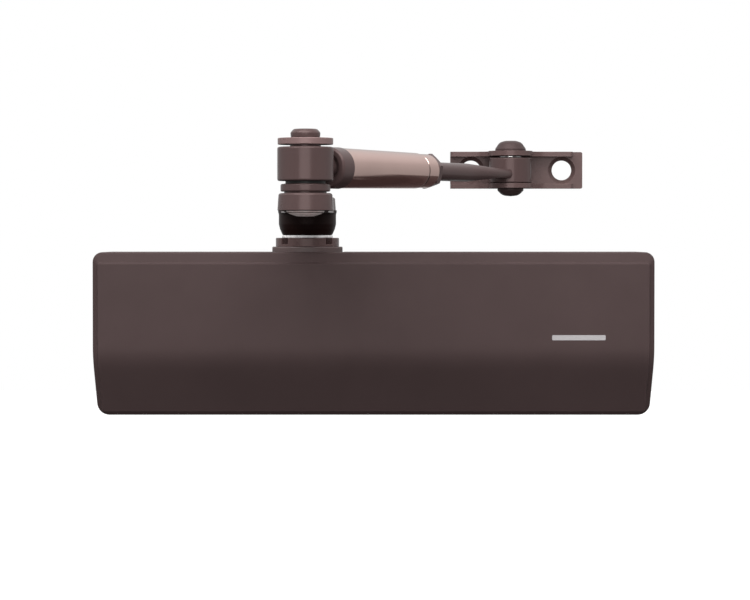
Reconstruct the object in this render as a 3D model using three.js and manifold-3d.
// Surface-mounted hydraulic door closer with a two-piece arm and a frame shoe.
// Millimetres. +X along the body, +Y into the door, +Z up.
// The origin is on the door face (y = 0), at the middle of the cover's length and height.

import * as THREE from "three";
import { mergeVertices } from "three/addons/utils/BufferGeometryUtils.js";
import Module from "manifold-3d";

const wasm = await Module();
wasm.setup();

// ---------------------------------------------------------------- driving dimensions

const gap = 0.3; // between neighbours that touch

const cover = {
  length: 240, height: 70, depth: 52, wall: 2.2, back: -0.5,
  topRound: 5, sideRound: 2.6, upperCorner: 3.6, lowerCorner: 5,
  bendHeight: -7, bendRadius: 30, lowerEdgeDepth: 43.5, lowerRound: 2.5, endTaper: 1.2,
};

const cylinder = { radius: 20.2, bore: 16.5, half: 101, depth: 26 };
const plate = { half: 116, height: 56, thickness: 6, holeX: 109, holeZ: 19, holeRadius: 4 };
const web = { half: 15, ribHalf: 12, ribHeight: 27 };
const spindle = { x: -28.8, y: -cylinder.depth, radius: 7.9, lowerRadius: 5.9, squareHalf: 5 };
spindle.bottom = -25.9;
spindle.shoulder = 42.3;
spindle.top = 58;
const boss = { radius: 15.3, bottom: -30, top: 37.3, bore: 11.3, counterbore: 12.5, counterboreBottom: 29.3 };
const bearing = { inner: spindle.radius + gap, outer: boss.bore - gap, low: 19, high: 28.5 };
const lowerBearing = { inner: spindle.lowerRadius + gap, low: -25.5, high: -18 };
const lipSeal = { outer: boss.counterbore - gap, low: boss.counterboreBottom + gap, high: 33.2 };
const glandNut = { bore: 8.3, radius: 13.75, spigotBottom: 33.5, height: 3.4, chamfer: 0.4 };
const notch = { width: 3.8, length: 5, height: 5, middle: 14.1 };
const thrustWasher = { radius: 11, low: 41.3, high: 42.3 };
const lowerCap = { top: -26.4, grooveRadius: 9.4, grooveLow: -29.2, grooveHigh: -27.2 };

const gear = { module: 1.5, teeth: 10, pressure: THREE.MathUtils.degToRad(20), half: 8, backlash: 0.5 };
gear.pitchRadius = gear.module * gear.teeth / 2;
gear.addendum = 0.8 * gear.module;
gear.dedendum = 1.15 * gear.module;

const piston = { left: -84.5, right: -4.8, radius: cylinder.bore - gap, travel: 22.3, chamfer: 0.8 };
piston.valveSeat = { radius: 3.7, end: -76 };
piston.passage = 2;
const checkValve = { ball: 3.2, middle: -79.3, retainer: 3.4, retainerBore: 1.5, left: -84.2, right: -82.9 };
const spring = { wire: 2.3, outer: 15, turns: 9, left: piston.right + gap, right: 83.7 };
const springSeat = { inner: 5, outer: cylinder.bore - 1, left: 84, right: 87.6 };
const plug = { left: -85.2, right: 88, socket: 5.8, socketDepth: 6 };
const plugSeal = { groove: 14.4, grooveHalf: 1.1, middle: 15.5, section: 0.7, left: -89.5, right: 92.5 };
const valve = { x: [-76, -64], radius: 3.6, bore: 4, bossRadius: 6.5, bossTop: -16, bottom: -29.5, top: -20 };
valve.groove = { radius: 2.3, low: -25, high: -23.2 };
valve.seal = { middle: 3.15, section: 0.5, height: -24.1 };
const coverScrew = {
  x: 96, headRadius: 3, shankRadius: 1.5, postRadius: 4, postTop: -17, recess: 1.2, depth: 11,
};

const elbow = { x: -26.8, y: -146.6, pin: 5.3 };
elbow.foot = { radius: 7.15, height: 1.8, rim: 0.4 };
elbow.head = { radius: 5.75, base: 80.7, height: 3.4, rim: 1.9 };
elbow.ring = { radius: 9.85, low: 59.3, high: 62.3, round: 0.9 };
elbow.disc = { radius: 10.95, low: 77.8, high: 80.4 };
const shoe = {
  x: 59.9, y: -18, z: 71, height: 16.2, thickness: 2, webThickness: 2.2, half: 29.25, offset: 3.3,
  nose: 9.6, lip: 8, flatEnd: 4.5, corner: 0.9, hole: 4.35, sink: 6, sinkDepth: 1.5, spread: 40.2,
};
const shoePin = { radius: 3, head: 6.7, headHeight: 4.2, foot: 5.7, footHeight: 3.3, rim: 0.8 };

const arm = { bottom: 51.8, top: 58.7, hubRadius: 12.45, eyeRadius: 11.05, waist: 9.2, hubBottom: 42.6 };
const armScrew = { seat: 60.1, top: 61.6, radius: 7, shank: 2.7, bottom: 48, thread: 3, threadBottom: 46 };
const armWasher = { inner: 3.2, outer: 8, low: 59, high: 59.8 };
const knuckle = { bottom: 63.5, top: 76.9, radius: 11.1, bore: 7, chamfer: 0.7, stem: 4, stemEnd: 27 };
const bush = { radius: 6.7, flange: 8.85, low: 62.6, flangeTop: 63.2, high: 76.6 };
const tube = { z: 69, start: 22.6, end: 78.6, tip: 79.4, wide: 8.1, narrow: 7.4, mouth: 6.9, bore: 4.3 };
const collar = { start: 14.8, end: 22.3, radius: 8.3, rim: 7.8, recess: 5.8, recessDepth: 1.5 };
const sleeve = { start: 79.7, end: 86.8, radius: 7.1, chamfer: 0.5 };
const nut = { start: 87.1, end: 89.8, flats: 13, cornerAngle: 43, chamfer: 0.6, faceRadius: 6.7 };
const rod = { radius: 3.9, start: 48, end: 118, eyeRadius: 9.2, eyeHeight: 10.8, bore: 3.3 };
rod.tongue = { halfHeight: 1.9, halfWidth: 5.5, thinFrom: 139 };
const shoeWasher = { inner: 3.3, outer: 5, low: 76.25, high: 76.8 };

const armLength = Math.hypot(elbow.x - spindle.x, elbow.y - spindle.y);
const armAngle = Math.atan2(elbow.y - spindle.y, elbow.x - spindle.x);
const forearmLength = Math.hypot(shoe.x - elbow.x, shoe.y - elbow.y);
const forearmAngle = Math.atan2(shoe.y - elbow.y, shoe.x - elbow.x);

// ---------------------------------------------------------------- materials

function finish(color, roughness, metalness) {
  return new THREE.MeshStandardMaterial({ color, roughness, metalness });
}

const brownPaint = () => finish(0x4b3e3d, 0.42, 0.1);
const bronze = () => finish(0x8a756f, 0.28, 0.6);
const blackOxide = () => finish(0x120c0c, 0.5, 0.4);
const castPaint = () => finish(0x453938, 0.55, 0.1);
const steel = () => finish(0xa9a8a6, 0.3, 0.9);
const springSteel = () => finish(0x3a3c40, 0.4, 0.8);
const rubber = () => finish(0x17181a, 0.85, 0);
const brass = () => finish(0xb08d4a, 0.35, 0.9);
const nylon = () => finish(0x1c1817, 0.6, 0);

// ---------------------------------------------------------------- solids and meshes

// A closed three.js geometry as a solid that can be joined and cut.
function solid(geometry) {
  const bare = geometry.clone();
  bare.deleteAttribute("normal");
  bare.deleteAttribute("uv");
  const merged = mergeVertices(bare, 1e-4);
  const index = merged.index.array;
  const corners = [];
  for (let i = 0; i < index.length; i += 3) {
    const [a, b, c] = [index[i], index[i + 1], index[i + 2]];
    if (a !== b && b !== c && c !== a) corners.push(a, b, c);
  }
  return new wasm.Manifold(new wasm.Mesh({
    numProp: 3,
    vertProperties: Float32Array.from(merged.attributes.position.array),
    triVerts: Uint32Array.from(corners),
  }));
}

function joined(...solids) {
  return solids.reduce((whole, next) => whole.add(next));
}

function cut(body, ...tools) {
  return tools.reduce((whole, tool) => whole.subtract(tool), body);
}

// A named mesh made from a solid.
function piece(name, body, material) {
  const cutMesh = body.getMesh();
  const geometry = new THREE.BufferGeometry();
  geometry.setAttribute("position", new THREE.BufferAttribute(cutMesh.vertProperties, 3));
  geometry.setIndex(new THREE.BufferAttribute(cutMesh.triVerts, 1));
  geometry.computeVertexNormals();
  const mesh = new THREE.Mesh(geometry, material);
  mesh.name = name;
  return mesh;
}

function group(x, y, angle, ...children) {
  const holder = new THREE.Group();
  holder.position.set(x, y, 0);
  holder.rotation.z = angle;
  holder.add(...children);
  return holder;
}

// Turns a form made along +Z so that its axis lies along +X or +Y instead.
const alongX = new THREE.Matrix4().makeBasis(
  new THREE.Vector3(0, 1, 0), new THREE.Vector3(0, 0, 1), new THREE.Vector3(1, 0, 0));
const alongY = new THREE.Matrix4().makeBasis(
  new THREE.Vector3(0, 0, 1), new THREE.Vector3(1, 0, 0), new THREE.Vector3(0, 1, 0));
const alongZ = new THREE.Matrix4();
// Takes an outline drawn as (x, z) and gives it thickness towards -Y.
const upright = new THREE.Matrix4().makeBasis(
  new THREE.Vector3(1, 0, 0), new THREE.Vector3(0, 0, 1), new THREE.Vector3(0, -1, 0));

function bar(radius, low, high, { axis = alongZ, at = [0, 0], sides = 20 } = {}) {
  const geometry = new THREE.CylinderGeometry(radius, radius, high - low, sides);
  geometry.rotateX(Math.PI / 2);
  geometry.translate(at[0], at[1], (low + high) / 2);
  geometry.applyMatrix4(axis);
  return solid(geometry);
}

function block(x0, x1, y0, y1, z0, z1) {
  const geometry = new THREE.BoxGeometry(x1 - x0, y1 - y0, z1 - z0);
  geometry.translate((x0 + x1) / 2, (y0 + y1) / 2, (z0 + z1) / 2);
  return solid(geometry);
}

// A turned form: the profile lists [radius, height] from the bottom up, on the right of its axis.
function turned(profile, { axis = alongZ, at = [0, 0], sides = 20 } = {}) {
  const points = profile.map(([radius, height]) => new THREE.Vector2(radius, height));
  const geometry = new THREE.LatheGeometry(points, sides);
  geometry.rotateX(Math.PI / 2);
  geometry.translate(at[0], at[1], 0);
  geometry.applyMatrix4(axis);
  return solid(geometry);
}

// A ring of rectangular section.
function ring(inner, outer, low, high, options) {
  return turned([[inner, low], [outer, low], [outer, high], [inner, high], [inner, low]], options);
}

// A round seal: a small circle turned about the axis.
function seal(middle, section, height, options) {
  const profile = [];
  const corners = 5;
  for (let i = 0; i <= corners; i += 1) {
    const angle = (i % corners) * 2 * Math.PI / corners - Math.PI / 2;
    profile.push([middle + section * Math.cos(angle), height + section * Math.sin(angle)]);
  }
  return turned(profile, { sides: 16, ...options });
}

function extruded(shape, low, high, { axis = alongZ, curveSegments = 4 } = {}) {
  const depth = high - low;
  const geometry = new THREE.ExtrudeGeometry(shape, { depth, bevelEnabled: false, curveSegments });
  geometry.translate(0, 0, low);
  geometry.applyMatrix4(axis);
  return solid(geometry);
}

function polygon(points) {
  return new THREE.Shape(points.map(([x, y]) => new THREE.Vector2(x, y)));
}

// Low dome of a given radius and height, from its flat side at "base" to its crown.
function domeProfile(radius, base, height, rim) {
  const steps = 3;
  const profile = [];
  for (let i = 0; i <= steps; i += 1) {
    const angle = i / steps * Math.PI / 2;
    profile.push([radius * Math.cos(angle), base + rim + (height - rim) * Math.sin(angle)]);
  }
  profile[steps][0] = 0;
  return profile;
}

// Half circle from pole to pole, which turns into a ball.
function ballProfile(radius, middle) {
  const steps = 6;
  const profile = [];
  for (let i = 0; i <= steps; i += 1) {
    const angle = i / steps * Math.PI - Math.PI / 2;
    profile.push([radius * Math.cos(angle), middle + radius * Math.sin(angle)]);
  }
  profile[0][0] = 0;
  profile[steps][0] = 0;
  return profile;
}

// ---------------------------------------------------------------- cover

// The outside of the cover is where three outlines meet: seen from the front, the side and above.
// The hollow inside is the same form, a wall's thickness smaller and open through the back.
function coverForm(inset) {
  const half = cover.length / 2 - inset;
  const top = cover.height / 2 - inset;
  const front = -cover.depth + inset;
  const reach = inset > 0 ? cover.depth : cover.back;
  const taper = half - cover.endTaper;

  const frontView = new THREE.Shape();
  const upper = Math.max(cover.upperCorner - inset, 1);
  const lower = Math.max(cover.lowerCorner - inset, 1);
  frontView.moveTo(-taper + lower, -top);
  frontView.lineTo(taper - lower, -top);
  frontView.absarc(taper - lower, -top + lower, lower, -Math.PI / 2, 0, false);
  frontView.lineTo(half, cover.bendHeight);
  frontView.lineTo(half, top - upper);
  frontView.absarc(half - upper, top - upper, upper, 0, Math.PI / 2, false);
  frontView.lineTo(-half + upper, top);
  frontView.absarc(-half + upper, top - upper, upper, Math.PI / 2, Math.PI, false);
  frontView.lineTo(-half, cover.bendHeight);
  frontView.lineTo(-taper, -top + lower);
  frontView.absarc(-taper + lower, -top + lower, lower, Math.PI, 1.5 * Math.PI, false);

  // Side view, drawn as (y, z): straight front, a wide bend, then a slope back to the lower edge.
  const round = Math.max(cover.topRound - inset, 1);
  const lowerDepth = -cover.lowerEdgeDepth + inset;
  const slope = Math.atan2(lowerDepth - front, cover.bendHeight + top);
  const sideView = new THREE.Shape();
  sideView.moveTo(reach, -top);
  sideView.lineTo(reach, top);
  sideView.lineTo(front + round, top);
  sideView.absarc(front + round, top - round, round, Math.PI / 2, Math.PI, false);
  sideView.lineTo(front, cover.bendHeight + cover.bendRadius * Math.tan(slope / 2));
  sideView.absarc(
    front + cover.bendRadius, cover.bendHeight + cover.bendRadius * Math.tan(slope / 2),
    cover.bendRadius, Math.PI, Math.PI + slope, false);
  sideView.lineTo(lowerDepth - 0.9 * Math.sin(slope), -top + cover.lowerRound);
  sideView.lineTo(lowerDepth + 0.7, -top + 0.6);
  sideView.lineTo(lowerDepth + cover.lowerRound, -top);

  const side = Math.max(cover.sideRound - inset, 0.5);
  const topView = new THREE.Shape();
  topView.moveTo(-half, reach);
  topView.lineTo(-half, front + side);
  topView.absarc(-half + side, front + side, side, Math.PI, 1.5 * Math.PI, false);
  topView.lineTo(half - side, front);
  topView.absarc(half - side, front + side, side, -Math.PI / 2, 0, false);
  topView.lineTo(half, reach);

  const frontSlab = extruded(frontView, -reach - 5, cover.depth + 5, { axis: upright });
  const sideSlab = extruded(sideView, -half - 5, half + 5, { axis: alongX });
  const topSlab = extruded(topView, -top - 5, top + 5);
  return frontSlab.intersect(sideSlab).intersect(topSlab);
}

function makeCover() {
  const slot = new THREE.Shape();
  const slotRadius = boss.radius + 0.5;
  slot.moveTo(spindle.x + slotRadius, 5);
  slot.lineTo(spindle.x - slotRadius, 5);
  slot.lineTo(spindle.x - slotRadius, spindle.y);
  slot.absarc(spindle.x, spindle.y, slotRadius, Math.PI, 2 * Math.PI, false);
  const floor = -cover.height / 2;
  const underneath = [];
  for (const x of valve.x) {
    underneath.push(bar(valve.bore, floor - 2, floor + 5, { at: [x, spindle.y], sides: 16 }));
  }
  for (const side of [-1, 1]) {
    const at = [side * coverScrew.x, spindle.y];
    underneath.push(bar(coverScrew.shankRadius + gap, floor - 2, floor + 5, { at, sides: 12 }));
    const sinkTop = floor + coverScrew.recess;
    underneath.push(bar(coverScrew.headRadius + gap, floor - 2, sinkTop, { at, sides: 16 }));
  }
  const shell = cut(coverForm(0), coverForm(cover.wall));
  return cut(shell, extruded(slot, 20, 50, { curveSegments: 24 }), ...underneath);
}

function makeCoverScrew(side) {
  const floor = -cover.height / 2;
  const at = [side * coverScrew.x, spindle.y];
  const head = bar(coverScrew.headRadius, floor, floor + coverScrew.recess - gap, { at, sides: 16 });
  const shank = bar(coverScrew.shankRadius, floor + 0.5, floor + coverScrew.depth, { at, sides: 12 });
  const [x, y] = at;
  const [reach, width, crossTop] = [1.8, 0.4, floor + 0.5];
  const crossLong = block(x - reach, x + reach, y - width, y + width, floor - 1, crossTop);
  const crossShort = block(x - width, x + width, y - reach, y + reach, floor - 1, crossTop);
  return cut(joined(head, shank), crossLong, crossShort);
}

// ---------------------------------------------------------------- housing and its covers

const onCylinder = { axis: alongX, at: [spindle.y, 0] };

function makeHousing() {
  const bore = { ...onCylinder, sides: 24 };
  const at = [spindle.x, spindle.y];
  const body = [
    bar(cylinder.radius, -cylinder.half, cylinder.half, bore),
    block(-cylinder.half, cylinder.half, spindle.y, -1, -web.half, web.half),
    block(-plate.half, plate.half, -plate.thickness, 0, -plate.height / 2, plate.height / 2),
    block(spindle.x - web.ribHalf, spindle.x + web.ribHalf, spindle.y, -1, -web.ribHeight, web.ribHeight),
    turned([
      [0, boss.bottom], [boss.radius, boss.bottom], [boss.radius, boss.top - 0.6],
      [boss.radius - 0.6, boss.top], [0, boss.top],
    ], { at, sides: 28 }),
  ];
  const floor = -cover.height / 2 + cover.wall;
  for (const x of valve.x) {
    body.push(bar(valve.bossRadius, boss.bottom, valve.bossTop, { at: [x, spindle.y], sides: 20 }));
  }
  for (const side of [-1, 1]) {
    const postAt = [side * coverScrew.x, spindle.y];
    body.push(bar(coverScrew.postRadius, floor + gap, coverScrew.postTop, { at: postAt, sides: 12 }));
  }
  const holes = [
    bar(cylinder.bore, -cylinder.half - 1, cylinder.half + 1, bore),
    bar(boss.bore, boss.bottom - 1, boss.top + 1, { at, sides: 24 }),
    bar(boss.counterbore, boss.counterboreBottom, boss.top + 1, { at, sides: 24 }),
  ];
  for (const x of valve.x) {
    holes.push(bar(valve.bore, valve.bottom - 2, valve.top + 0.5, { at: [x, spindle.y], sides: 16 }));
  }
  for (const side of [-1, 1]) {
    holes.push(bar(coverScrew.shankRadius + gap, floor - 2, floor + coverScrew.depth - 1, {
      at: [side * coverScrew.x, spindle.y], sides: 12,
    }));
    for (const level of [-plate.holeZ, plate.holeZ]) {
      holes.push(bar(plate.holeRadius, -plate.thickness - 1, 1, {
        axis: alongY, at: [level, side * plate.holeX], sides: 16,
      }));
    }
  }
  return cut(joined(...body), ...holes);
}

function hexagon(cornerRadius, firstAngle, middle) {
  const corners = [];
  for (let i = 0; i < 6; i += 1) {
    const angle = firstAngle + i * Math.PI / 3;
    corners.push([middle[0] + cornerRadius * Math.cos(angle), middle[1] + cornerRadius * Math.sin(angle)]);
  }
  return polygon(corners);
}

function makePlug(inner, outer, sealAt) {
  const [low, high] = [Math.min(inner, outer), Math.max(inner, outer)];
  const body = bar(cylinder.bore - gap, low, high, { ...onCylinder, sides: 24 });
  const groove = ring(
    plugSeal.groove, cylinder.bore, sealAt - plugSeal.grooveHalf, sealAt + plugSeal.grooveHalf,
    { ...onCylinder, sides: 24 });
  const socketLow = outer > 0 ? outer - plug.socketDepth : outer - 1;
  const socket = extruded(
    hexagon(plug.socket, 0, [spindle.y, 0]), socketLow, socketLow + plug.socketDepth + 1, { axis: alongX });
  return cut(body, groove, socket);
}

function makeGlandNut() {
  const { bore, radius, spigotBottom, chamfer } = glandNut;
  const spigot = boss.counterbore - gap;
  const seat = boss.top + gap;
  const top = seat + glandNut.height;
  const body = turned([
    [bore, spigotBottom], [spigot, spigotBottom], [spigot, seat], [radius, seat],
    [radius, top - chamfer], [radius - chamfer, top], [bore, top], [bore, spigotBottom],
  ], { sides: 28 });
  const notches = [];
  for (let i = 0; i < 4; i += 1) {
    const geometry = new THREE.BoxGeometry(notch.length, notch.width, notch.height);
    geometry.translate(notch.middle, 0, top);
    geometry.rotateZ(Math.PI / 4 + i * Math.PI / 2);
    notches.push(solid(geometry));
  }
  return cut(body, ...notches);
}

function makeLowerCap() {
  const body = bar(boss.bore - gap, boss.bottom, lowerCap.top, { sides: 24 });
  const { grooveRadius, grooveLow, grooveHigh } = lowerCap;
  const groove = ring(grooveRadius, boss.bore, grooveLow, grooveHigh, { sides: 24 });
  const slot = block(-7, 7, -0.8, 0.8, boss.bottom - 1, boss.bottom + 0.6);
  return cut(body, groove, slot);
}

// ---------------------------------------------------------------- piston, spring and valves

// Rack tooth across the front side of the slot, as (x, y) points in the piston's own place.
function rackTooth(middle) {
  const pitchLine = spindle.y - gear.pitchRadius;
  const half = Math.PI * gear.module / 4 - gear.backlash / 4;
  const lean = Math.tan(gear.pressure);
  const tip = pitchLine + gear.addendum;
  const root = pitchLine - gear.dedendum - 1;
  return polygon([
    [middle - half - (gear.dedendum + 1) * lean, root],
    [middle + half + (gear.dedendum + 1) * lean, root],
    [middle + half - gear.addendum * lean, tip],
    [middle - half + gear.addendum * lean, tip],
  ]);
}

function makePiston() {
  const pitch = Math.PI * gear.module;
  const slotWall = spindle.y - gear.pitchRadius - gear.dedendum;
  const { left, right, radius, chamfer } = piston;
  const body = turned([
    [0, left], [radius - chamfer, left], [radius, left + chamfer],
    [radius, right - chamfer], [radius - chamfer, right], [0, right],
  ], { ...onCylinder, sides: 24 });
  const slotLeft = spindle.x - piston.travel - 10;
  const slotRight = spindle.x + 10;
  const slot = block(slotLeft, slotRight, slotWall, spindle.y + 9.4, -20, 20);
  const { valveSeat } = piston;
  const seat = bar(valveSeat.radius, left - 1, valveSeat.end, { ...onCylinder, sides: 16 });
  const passage = bar(piston.passage, valveSeat.end - 1, slotLeft + 1, { ...onCylinder, sides: 12 });
  let whole = cut(body, slot, seat, passage);
  for (let i = -7; i <= 1; i += 1) {
    const tooth = rackTooth(spindle.x + (i + 0.5) * pitch);
    whole = whole.add(extruded(tooth, -gear.half, gear.half));
  }
  return whole;
}

class SpringPath extends THREE.Curve {
  // The first and last turns lie almost closed, and the turns between are evenly open.
  getPoint(t, target = new THREE.Vector3()) {
    const turn = t * spring.turns;
    const closedPitch = 2 * spring.wire + gap;
    const length = spring.right - spring.left - 2 * spring.wire - 2 * gap;
    const openPitch = (length - 2 * closedPitch) / (spring.turns - 2);
    const first = Math.min(turn, 1) * closedPitch;
    const middle = Math.max(0, Math.min(turn - 1, spring.turns - 2)) * openPitch;
    const last = Math.max(0, turn - spring.turns + 1) * closedPitch;
    const angle = 2 * Math.PI * turn;
    const radius = spring.outer - spring.wire;
    return target.set(
      spring.left + spring.wire + gap + first + middle + last,
      spindle.y + radius * Math.cos(angle),
      radius * Math.sin(angle));
  }
}

function makeSpring() {
  const wire = new THREE.Shape();
  wire.absarc(0, 0, spring.wire, 0, 2 * Math.PI, false);
  return solid(new THREE.ExtrudeGeometry(wire, {
    steps: spring.turns * 10, extrudePath: new SpringPath(), bevelEnabled: false, curveSegments: 3,
  }));
}

function makeValve() {
  const { radius, bottom, top, groove } = valve;
  const body = turned([
    [0, bottom], [radius, bottom], [radius, groove.low], [groove.radius, groove.low],
    [groove.radius, groove.high], [radius, groove.high], [radius, top - 2], [1, top], [0, top],
  ], { sides: 20 });
  return cut(body, block(-3, 3, -0.5, 0.5, bottom - 1, bottom + 1.2));
}

// ---------------------------------------------------------------- spindle and main arm

// Pinion tooth flanks follow the involute of the base circle.
function pinionOutline() {
  const base = gear.pitchRadius * Math.cos(gear.pressure);
  const tip = gear.pitchRadius + gear.addendum;
  const root = gear.pitchRadius - gear.dedendum;
  const involute = (angle) => Math.tan(angle) - angle;
  const halfAtPitch = (Math.PI * gear.module / 2 - gear.backlash / 2) / (2 * gear.pitchRadius);
  const halfAt = (radius) => {
    const pressureThere = Math.acos(Math.min(1, base / radius));
    return halfAtPitch + involute(gear.pressure) - involute(pressureThere);
  };
  const points = [];
  for (let i = 0; i < gear.teeth; i += 1) {
    const middle = -Math.PI / 2 + i * 2 * Math.PI / gear.teeth;
    const flank = [[root, halfAt(base) * 0.9], ...[base, 7.6, 8.2, tip].map((r) => [r, halfAt(r)])];
    for (const [radius, half] of flank) points.push([radius, middle - half]);
    for (const [radius, half] of flank.reverse()) points.push([radius, middle + half]);
  }
  return polygon(points.map(([radius, angle]) => [radius * Math.cos(angle), radius * Math.sin(angle)]));
}

function makePinionShaft() {
  const { radius, lowerRadius, bottom, shoulder, top } = spindle;
  const core = lowerRadius - gap;
  const body = turned([
    [0, bottom], [lowerRadius, bottom], [lowerRadius, -gear.half], [core, -gear.half],
    [core, gear.half], [radius, gear.half + 0.5], [radius, shoulder], [0, shoulder],
  ]);
  const half = spindle.squareHalf;
  const square = block(-half, half, -half, half, shoulder - 1, top);
  const pinion = extruded(pinionOutline(), -gear.half, gear.half);
  const thread = bar(armScrew.thread, armScrew.threadBottom, top + 1, { sides: 12 });
  return cut(joined(body, square, pinion), thread);
}

function squareHole(low, high) {
  const half = spindle.squareHalf + gap;
  return block(-half, half, -half, half, low, high);
}

function makeArmHub() {
  const body = turned([
    [0, arm.hubBottom], [arm.hubRadius - 1.55, arm.hubBottom], [arm.hubRadius - 0.75, arm.hubBottom + 1.1],
    [arm.hubRadius - 0.25, arm.hubBottom + 2.7], [arm.hubRadius, arm.hubBottom + 4.4],
    [arm.hubRadius, arm.bottom - gap], [0, arm.bottom - gap],
  ], { sides: 28 });
  return cut(body, squareHole(arm.hubBottom - 1, arm.bottom + 1));
}

// Flat bar along local +X, from the hub to the elbow eye, with a gentle waist.
function makeMainArm() {
  const outline = new THREE.Shape();
  const lean = 0.35;
  const hubEnd = [arm.hubRadius * Math.sin(lean), arm.hubRadius * Math.cos(lean)];
  const eyeEnd = [armLength - arm.eyeRadius * Math.sin(lean), arm.eyeRadius * Math.cos(lean)];
  outline.absarc(0, 0, arm.hubRadius, Math.PI / 2 - lean, 1.5 * Math.PI + lean, false);
  outline.bezierCurveTo(hubEnd[0] + 18, -arm.waist, hubEnd[0] + 30, -arm.waist, armLength / 2, -arm.waist);
  outline.bezierCurveTo(eyeEnd[0] - 30, -arm.waist, eyeEnd[0] - 18, -arm.waist, eyeEnd[0], -eyeEnd[1]);
  outline.absarc(armLength, 0, arm.eyeRadius, -Math.PI / 2 - lean, Math.PI / 2 + lean, false);
  outline.bezierCurveTo(eyeEnd[0] - 18, arm.waist, eyeEnd[0] - 30, arm.waist, armLength / 2, arm.waist);
  outline.bezierCurveTo(hubEnd[0] + 30, arm.waist, hubEnd[0] + 18, arm.waist, ...hubEnd);
  const blank = extruded(outline, arm.bottom, arm.top, { curveSegments: 10 });
  const [low, high] = [arm.bottom - 1, arm.top + 1];
  return cut(blank, squareHole(low, high), bar(elbow.pin + gap, low, high, { at: [armLength, 0] }));
}

function makeArmScrew() {
  const { seat, top, radius } = armScrew;
  const head = turned([[0, seat], [radius, seat], [radius, top - 0.5], [radius - 0.8, top], [0, top]]);
  const shank = bar(armScrew.shank, armScrew.bottom, seat + 0.4, { sides: 12 });
  const slot = block(-radius - 1, radius + 1, -0.8, 0.8, top - 0.6, top + 1);
  return cut(joined(head, shank), slot);
}

function makeElbowPin() {
  const { foot, head } = elbow;
  const seat = arm.bottom - gap;
  const footDome = domeProfile(foot.radius, -seat, foot.height, foot.rim).map(([r, z]) => [r, -z]).reverse();
  return turned([
    ...footDome, [foot.radius, seat], [elbow.pin, seat], [elbow.pin, head.base],
    [head.radius, head.base], ...domeProfile(head.radius, head.base, head.height, head.rim),
  ]);
}

function makeElbowRing() {
  const inner = elbow.pin + gap;
  const { radius, low, high, round } = elbow.ring;
  return turned([
    [inner, low], [radius - round, low], [radius, low + round], [radius, high - round],
    [radius - round, high], [inner, high], [inner, low],
  ], { sides: 28 });
}

// ---------------------------------------------------------------- forearm

const onTube = { axis: alongX, at: [0, tube.z] };

function makeKnuckle() {
  const { bottom, top, radius, chamfer } = knuckle;
  const barrel = turned([
    [0, bottom], [radius - chamfer, bottom], [radius, bottom + chamfer], [radius, top - chamfer],
    [radius - chamfer, top], [0, top],
  ], { sides: 28 });
  const stem = bar(knuckle.stem, knuckle.bore + 1, knuckle.stemEnd, { ...onTube, sides: 20 });
  return cut(joined(barrel, stem), bar(knuckle.bore, bottom - 1, top + 1));
}

function makeKnuckleBush() {
  const inner = elbow.pin + gap;
  const { radius, flange, low, flangeTop, high } = bush;
  return turned([
    [inner, low], [flange, low], [flange, flangeTop], [radius, flangeTop],
    [radius, high], [inner, high], [inner, low],
  ]);
}

function makeTubeCollar() {
  const { start, end, radius, rim, recess } = collar;
  const floor = start + collar.recessDepth;
  return turned([
    [tube.bore, floor], [recess, floor], [recess, start], [rim, start], [radius, start + 0.8],
    [radius, end], [tube.bore, end], [tube.bore, floor],
  ], { ...onTube, sides: 28 });
}

function makeForearmTube() {
  return turned([
    [tube.bore, tube.start], [tube.wide, tube.start], [tube.narrow, tube.end],
    [tube.mouth, tube.tip], [tube.bore, tube.tip], [tube.bore, tube.start],
  ], { ...onTube, sides: 28 });
}

function makeTubeSleeve() {
  const { start, end, radius, chamfer } = sleeve;
  return turned([
    [tube.bore, start], [radius - chamfer, start], [radius, start + chamfer], [radius, end - chamfer],
    [radius - chamfer, end], [tube.bore, end], [tube.bore, start],
  ], { ...onTube, sides: 28 });
}

function makeLockNut() {
  const { start, end, chamfer, faceRadius } = nut;
  const corner = nut.flats / 2 / Math.cos(Math.PI / 6);
  const outline = hexagon(corner, THREE.MathUtils.degToRad(nut.cornerAngle), [0, tube.z]);
  const chamfered = turned([
    [0, start], [faceRadius, start], [corner + 0.1, start + chamfer], [corner + 0.1, end - chamfer],
    [faceRadius, end], [0, end],
  ], { ...onTube, sides: 24 });
  const body = extruded(outline, start, end, { axis: alongX }).intersect(chamfered);
  return cut(body, bar(rod.radius + gap, start - 1, end + 1, { ...onTube, sides: 20 }));
}

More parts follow.
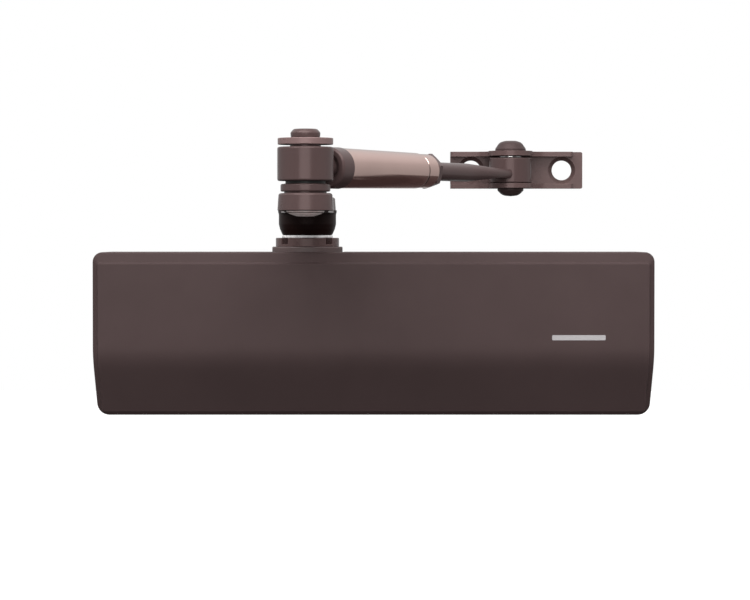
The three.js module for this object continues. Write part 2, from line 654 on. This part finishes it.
// The rod grows wider towards the eye, and two sloping faces thin it into a flat tongue.
function makeTongue() {
  const { halfHeight, halfWidth, thinFrom } = rod.tongue;
  const inEye = forearmLength - rod.eyeRadius + 1;
  const sides = 20;
  const points = [];
  const corners = [];
  for (const [at, width] of [[rod.end, rod.radius], [thinFrom, halfWidth], [inEye, halfWidth]]) {
    for (let k = 0; k < sides; k += 1) {
      const angle = k / sides * 2 * Math.PI;
      points.push(at, width * Math.cos(angle), tube.z + rod.radius * Math.sin(angle));
    }
  }
  const nearMiddle = points.length / 3;
  points.push(rod.end, 0, tube.z, inEye, 0, tube.z);
  for (let k = 0; k < sides; k += 1) {
    const next = (k + 1) % sides;
    corners.push(nearMiddle, next, k, nearMiddle + 1, 2 * sides + k, 2 * sides + next);
    for (const a of [k, k + sides]) {
      const b = a - k + next;
      corners.push(a, b, b + sides, a, b + sides, a + sides);
    }
  }
  const geometry = new THREE.BufferGeometry();
  geometry.setAttribute("position", new THREE.Float32BufferAttribute(points, 3));
  geometry.setIndex(corners);
  const sideView = polygon([
    [rod.end, -rod.radius], [thinFrom, -halfHeight], [inEye, -halfHeight],
    [inEye, halfHeight], [thinFrom, halfHeight], [rod.end, rod.radius],
  ]);
  const wedge = extruded(sideView, -halfWidth - 1, halfWidth + 1, { axis: upright });
  return solid(geometry).intersect(wedge.translate([0, 0, tube.z]));
}

function makeArmRod() {
  const { radius, start, end, eyeRadius } = rod;
  const eyeBottom = shoe.z - shoe.height / 2 + shoe.thickness + gap;
  const eyeTop = eyeBottom + rod.eyeHeight;
  const round = bar(radius, start, end, { ...onTube, sides: 20 });
  const eye = turned([
    [0, eyeBottom], [eyeRadius - 0.5, eyeBottom], [eyeRadius, eyeBottom + 0.5],
    [eyeRadius, eyeTop - 0.5], [eyeRadius - 0.5, eyeTop], [0, eyeTop],
  ], { at: [forearmLength, 0], sides: 28 });
  const bore = bar(rod.bore, eyeBottom - 1, eyeTop + 1, { at: [forearmLength, 0], sides: 20 });
  return cut(joined(round, makeTongue(), eye), bore);
}

// ---------------------------------------------------------------- shoe

// A flat strip with two holes, and two flanges that stop short of its right end.
function makeShoeBracket() {
  const back = -shoe.y;
  const face = back - shoe.webThickness;
  const low = shoe.z - shoe.height / 2;
  const high = shoe.z + shoe.height / 2;
  const left = shoe.offset - shoe.half;
  const right = shoe.offset + shoe.half;
  const lip = back - shoe.lip;
  const lean = 0.5;
  const side = [shoe.nose * Math.cos(lean), shoe.nose * Math.sin(lean)];
  const flange = new THREE.Shape();
  flange.moveTo(left, back);
  flange.lineTo(left, lip);
  flange.quadraticCurveTo(-side[0] - 4, lip, -side[0], side[1]);
  flange.absarc(0, 0, shoe.nose, Math.PI - lean, 2 * Math.PI + lean, false);
  flange.quadraticCurveTo(side[0] + 4, lip, side[0] + 9, lip);
  flange.lineTo(right - shoe.flatEnd, lip);
  flange.lineTo(right - shoe.flatEnd, back);
  const flanges = cut(
    extruded(flange, low, high, { curveSegments: 8 }),
    block(left - 1, right + 1, -20, face, low + shoe.thickness, high - shoe.thickness));
  const end = new THREE.Shape();
  end.moveTo(left, low);
  end.lineTo(right - shoe.corner, low);
  end.absarc(right - shoe.corner, low + shoe.corner, shoe.corner, -Math.PI / 2, 0, false);
  end.absarc(right - shoe.corner, high - shoe.corner, shoe.corner, 0, Math.PI / 2, false);
  end.lineTo(left, high);
  const strip = extruded(end, -back, -face, { axis: upright });
  const holes = [bar(rod.bore, low - 1, high + 1, { sides: 20 })];
  for (const sideways of [-1, 1]) {
    const x = shoe.offset + sideways * shoe.spread / 2;
    holes.push(turned([
      [0, face - 1], [shoe.sink, face - 1], [shoe.sink, face], [shoe.hole, face + shoe.sinkDepth],
      [shoe.hole, back + 1], [0, back + 1],
    ], { axis: alongY, at: [shoe.z, x], sides: 24 }));
  }
  return cut(joined(flanges, strip), ...holes);
}

function makeShoeRivet() {
  const { radius, head, foot, rim } = shoePin;
  const low = shoe.z - shoe.height / 2 - gap;
  const high = shoe.z + shoe.height / 2 + gap;
  const footDome = domeProfile(foot, -low, shoePin.footHeight, rim).map(([r, z]) => [r, -z]).reverse();
  const headDome = domeProfile(head, high, shoePin.headHeight, rim);
  return turned([
    ...footDome, [foot, low], [radius, low], [radius, high], [head, high], ...headDome,
  ], { sides: 24 });
}

// ---------------------------------------------------------------- assembly

const bodyPieces = group(
  0, 0, 0,
  piece("cover", makeCover(), brownPaint()),
  piece("cover_screw_left", makeCoverScrew(-1), steel()),
  piece("cover_screw_right", makeCoverScrew(1), steel()),
  piece("housing", makeHousing(), castPaint()),
  piece("left_end_plug", makePlug(plug.left, -cylinder.half, plugSeal.left), steel()),
  piece("right_end_plug", makePlug(plug.right, cylinder.half, plugSeal.right), steel()),
  piece("left_plug_seal", seal(plugSeal.middle, plugSeal.section, plugSeal.left, onCylinder), rubber()),
  piece("right_plug_seal", seal(plugSeal.middle, plugSeal.section, plugSeal.right, onCylinder), rubber()),
  piece("spring_seat", ring(
    springSeat.inner, springSeat.outer, springSeat.left, springSeat.right, onCylinder), steel()),
  piece("closing_spring", makeSpring(), springSteel()),
  piece("piston", makePiston(), steel()),
  piece("check_ball", turned(
    ballProfile(checkValve.ball, checkValve.middle), { ...onCylinder, sides: 12 }), steel()),
  piece("check_retainer", ring(
    checkValve.retainerBore, checkValve.retainer, checkValve.left, checkValve.right,
    { ...onCylinder, sides: 16 }), steel()),
);

const bossPieces = group(
  spindle.x, spindle.y, 0,
  piece("upper_bearing", ring(bearing.inner, bearing.outer, bearing.low, bearing.high), steel()),
  piece("spindle_seal", ring(bearing.inner, lipSeal.outer, lipSeal.low, lipSeal.high), rubber()),
  piece("gland_nut", makeGlandNut(), brownPaint()),
  piece("lower_bearing", ring(
    lowerBearing.inner, bearing.outer, lowerBearing.low, lowerBearing.high), steel()),
  piece("lower_cap", makeLowerCap(), steel()),
  piece("lower_cap_seal", seal(10.35, 0.6, (lowerCap.grooveLow + lowerCap.grooveHigh) / 2), rubber()),
);

const spindlePieces = group(
  spindle.x, spindle.y, 0,
  piece("pinion_shaft", makePinionShaft(), steel()),
  piece("thrust_washer", ring(
    bearing.inner, thrustWasher.radius, thrustWasher.low, thrustWasher.high, { sides: 28 }), steel()),
);

const armPieces = group(
  spindle.x, spindle.y, armAngle,
  piece("arm_hub", makeArmHub(), blackOxide()),
  piece("main_arm", makeMainArm(), brownPaint()),
  piece("arm_washer", ring(armWasher.inner, armWasher.outer, armWasher.low, armWasher.high), steel()),
  piece("arm_screw", makeArmScrew(), steel()),
);

const elbowPieces = group(
  elbow.x, elbow.y, 0,
  piece("elbow_pin", makeElbowPin(), brownPaint()),
  piece("elbow_ring", makeElbowRing(), brownPaint()),
  piece("elbow_disc", ring(
    elbow.pin + gap, elbow.disc.radius, elbow.disc.low, elbow.disc.high, { sides: 28 }), brownPaint()),
);

const forearmPieces = group(
  elbow.x, elbow.y, forearmAngle,
  piece("knuckle", makeKnuckle(), brownPaint()),
  piece("knuckle_bush", makeKnuckleBush(), nylon()),
  piece("tube_collar", makeTubeCollar(), brownPaint()),
  piece("forearm_tube", makeForearmTube(), bronze()),
  piece("tube_sleeve", makeTubeSleeve(), bronze()),
  piece("lock_nut", makeLockNut(), brownPaint()),
  piece("arm_rod", makeArmRod(), brownPaint()),
);

const shoePieces = group(
  shoe.x, shoe.y, 0,
  piece("shoe_bracket", makeShoeBracket(), brownPaint()),
  piece("shoe_rivet", makeShoeRivet(), brownPaint()),
  piece("shoe_washer", ring(shoeWasher.inner, shoeWasher.outer, shoeWasher.low, shoeWasher.high), steel()),
);

const valvePieces = ["latching", "closing"].map((name, i) => group(
  valve.x[i], spindle.y, 0,
  piece(`${name}_valve`, makeValve(), brass()),
  piece(`${name}_valve_seal`, seal(valve.seal.middle, valve.seal.section, valve.seal.height), rubber()),
));

const closer = new THREE.Group();
closer.add(
  bodyPieces, bossPieces, spindlePieces, armPieces, elbowPieces, forearmPieces, shoePieces, ...valvePieces);

export default closer;
